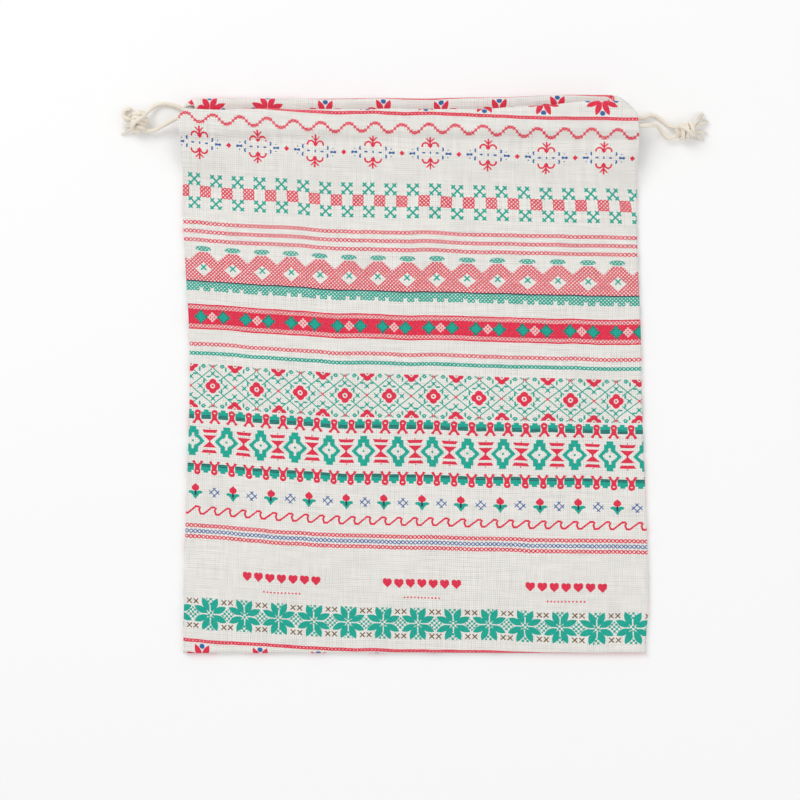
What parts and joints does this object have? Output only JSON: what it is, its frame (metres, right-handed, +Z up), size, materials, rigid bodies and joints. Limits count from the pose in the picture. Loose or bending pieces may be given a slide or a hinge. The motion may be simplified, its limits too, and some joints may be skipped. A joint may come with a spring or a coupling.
{
  "type": "drawstring gift pouch",
  "caption": "Flat printed cloth pouch with a casing along each edge of its mouth and knotted drawstring cords that pull out of both sides to close it.",
  "frame": {"origin": "under the middle of the pouch, on the surface that its back lies on; the knotted cord ends are not counted", "axes": "+X to the right across the pouch, +Y from the bottom fold to the mouth, +Z up out of the front panel"},
  "size_m": [0.317, 0.3, 0.0144],
  "materials": {
    "printed_cloth": "plain-weave cotton and linen, off-white, printed in red, green and blue rows",
    "cloth_inside": "the same cloth's wrong side, off-white",
    "sewing_thread": "white spun polyester thread",
    "cotton_cord": "cream twisted cotton cord, matt"
  },
  "bodies": {
    "back": {"back_panel": "printed_cloth", "back_casing_hem": "cloth_inside", "bottom_fold": "printed_cloth", "left_seam_allowance": "cloth_inside", "right_seam_allowance": "cloth_inside", "left_seam_thread": "sewing_thread", "right_seam_thread": "sewing_thread", "left_overlock_thread": "sewing_thread", "right_overlock_thread": "sewing_thread", "back_hem_thread": "sewing_thread", "left_turn_back": "cotton_cord", "right_turn_back": "cotton_cord"},
    "front": {"front_panel": "printed_cloth", "front_casing_hem": "cloth_inside", "front_hem_thread": "sewing_thread", "left_turn_front": "cotton_cord", "right_turn_front": "cotton_cord"},
    "left_cord": {"left_back_run": "cotton_cord", "left_upper_end": "cotton_cord", "left_lower_end": "cotton_cord", "left_knot": "cotton_cord", "left_curled_tail": "cotton_cord", "left_frayed_tail": "cotton_cord"},
    "left_cord_front": {"left_front_run": "cotton_cord"},
    "right_cord": {"right_back_run": "cotton_cord", "right_upper_end": "cotton_cord", "right_lower_end": "cotton_cord", "right_knot": "cotton_cord", "right_long_tail": "cotton_cord", "right_short_tail": "cotton_cord"},
    "right_cord_front": {"right_front_run": "cotton_cord"}
  },
  "joints": [
    {"name": "mouth_open", "type": "hinge", "parent": "back", "child": "front", "pos_m": [0, -0.14825, 0.00175], "axis": [1, 0, 0], "range_deg": [0, 10]},
    {"name": "left_pull", "type": "slide", "parent": "back", "child": "left_cord", "axis": [-1, 0, 0], "range_m": [0, 0.06]},
    {"name": "left_front_pull", "type": "slide", "parent": "front", "child": "left_cord_front", "axis": [-1, 0, 0], "range_m": [0, 0.06]},
    {"name": "right_pull", "type": "slide", "parent": "back", "child": "right_cord", "axis": [1, 0, 0], "range_m": [0, 0.06]},
    {"name": "right_front_pull", "type": "slide", "parent": "front", "child": "right_cord_front", "axis": [1, 0, 0], "range_m": [0, 0.06]}
  ],
  "couplings": [
    {"joint": "left_front_pull", "follows": "left_pull", "ratio": 1},
    {"joint": "right_front_pull", "follows": "right_pull", "ratio": 1}
  ]
}
